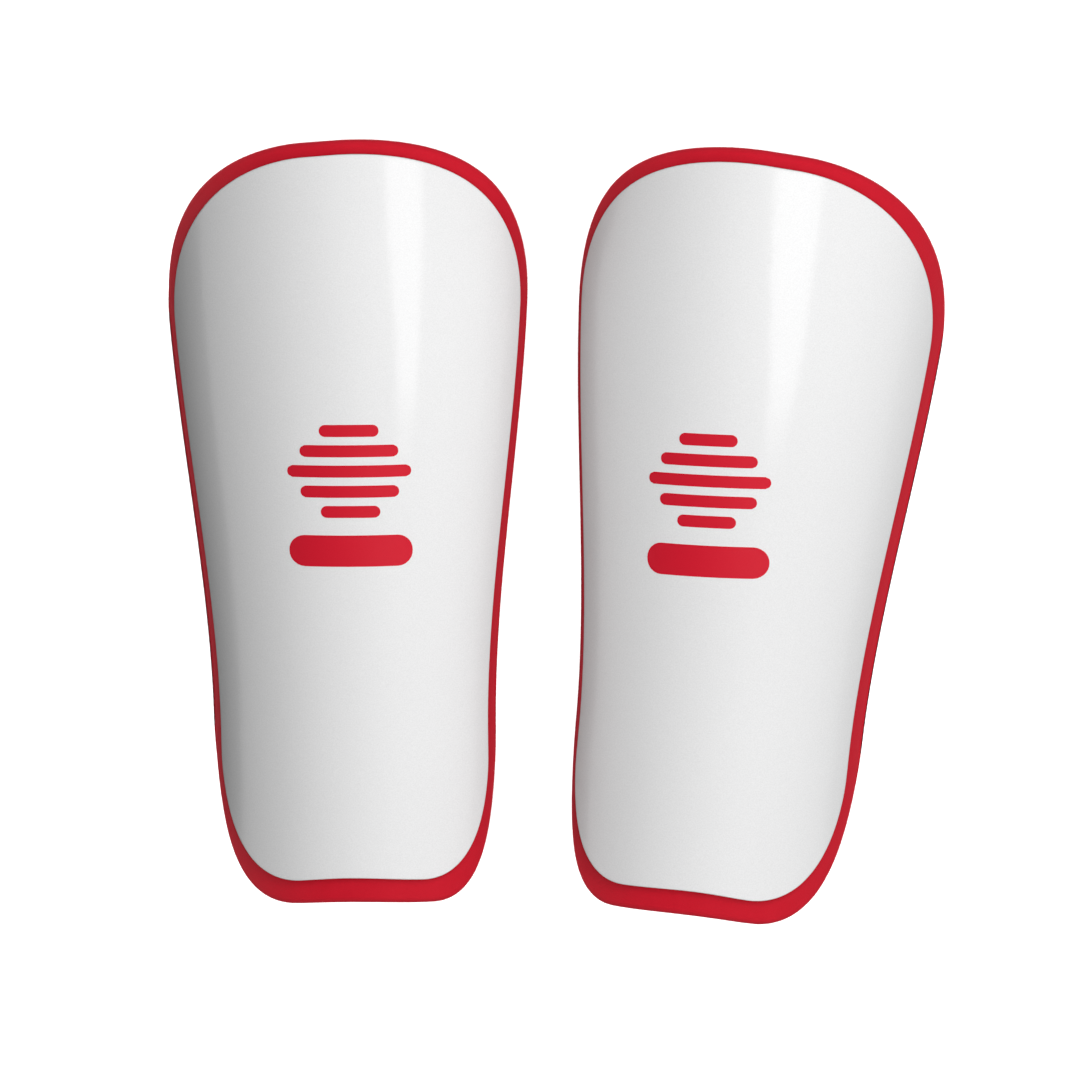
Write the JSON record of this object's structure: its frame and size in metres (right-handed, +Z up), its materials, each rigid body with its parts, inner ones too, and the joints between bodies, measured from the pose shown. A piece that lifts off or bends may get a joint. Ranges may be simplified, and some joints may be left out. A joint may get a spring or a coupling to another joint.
{
  "type": "shin guards",
  "caption": "Slip-in shin guards, left and right: curved gloss shells on larger foam backings whose rims show all round, with soft pads and a knit lining inside.",
  "frame": {"origin": "on the floor, under the middle of the bounding box of both guards as they lie crown up on their wing edges", "axes": "+X from the left guard to the right guard, +Y towards the knee ends, +Z up, away from the floor and out through the crowns of the shells"},
  "size_m": [0.2486, 0.248, 0.0411],
  "materials": {
    "shell_white": "white moulded polypropylene, high gloss with a very fine grain",
    "foam_red": "red closed-cell EVA foam, satin, smooth moulded skin",
    "pad_grey": "dark grey soft foam, matt",
    "lining_grey": "grey brushed knit",
    "emblem_red": "red transfer print under a thin clear film, semi-gloss"
  },
  "bodies": {
    "left_guard": {"left_shell": "shell_white", "left_backing_foam": "foam_red", "left_inner_comfort_pad": "pad_grey", "left_outer_comfort_pad": "pad_grey", "left_lining": "lining_grey", "left_emblem_film": "emblem_red"},
    "right_guard": {"right_shell": "shell_white", "right_backing_foam": "foam_red", "right_inner_comfort_pad": "pad_grey", "right_outer_comfort_pad": "pad_grey", "right_lining": "lining_grey", "right_emblem_film": "emblem_red"}
  },
  "joints": [
    {"name": "right_guard_lift", "type": "slide", "parent": "left_guard", "child": "right_guard", "axis": [0, 0, 1], "range_m": [0, 0.1]}
  ]
}
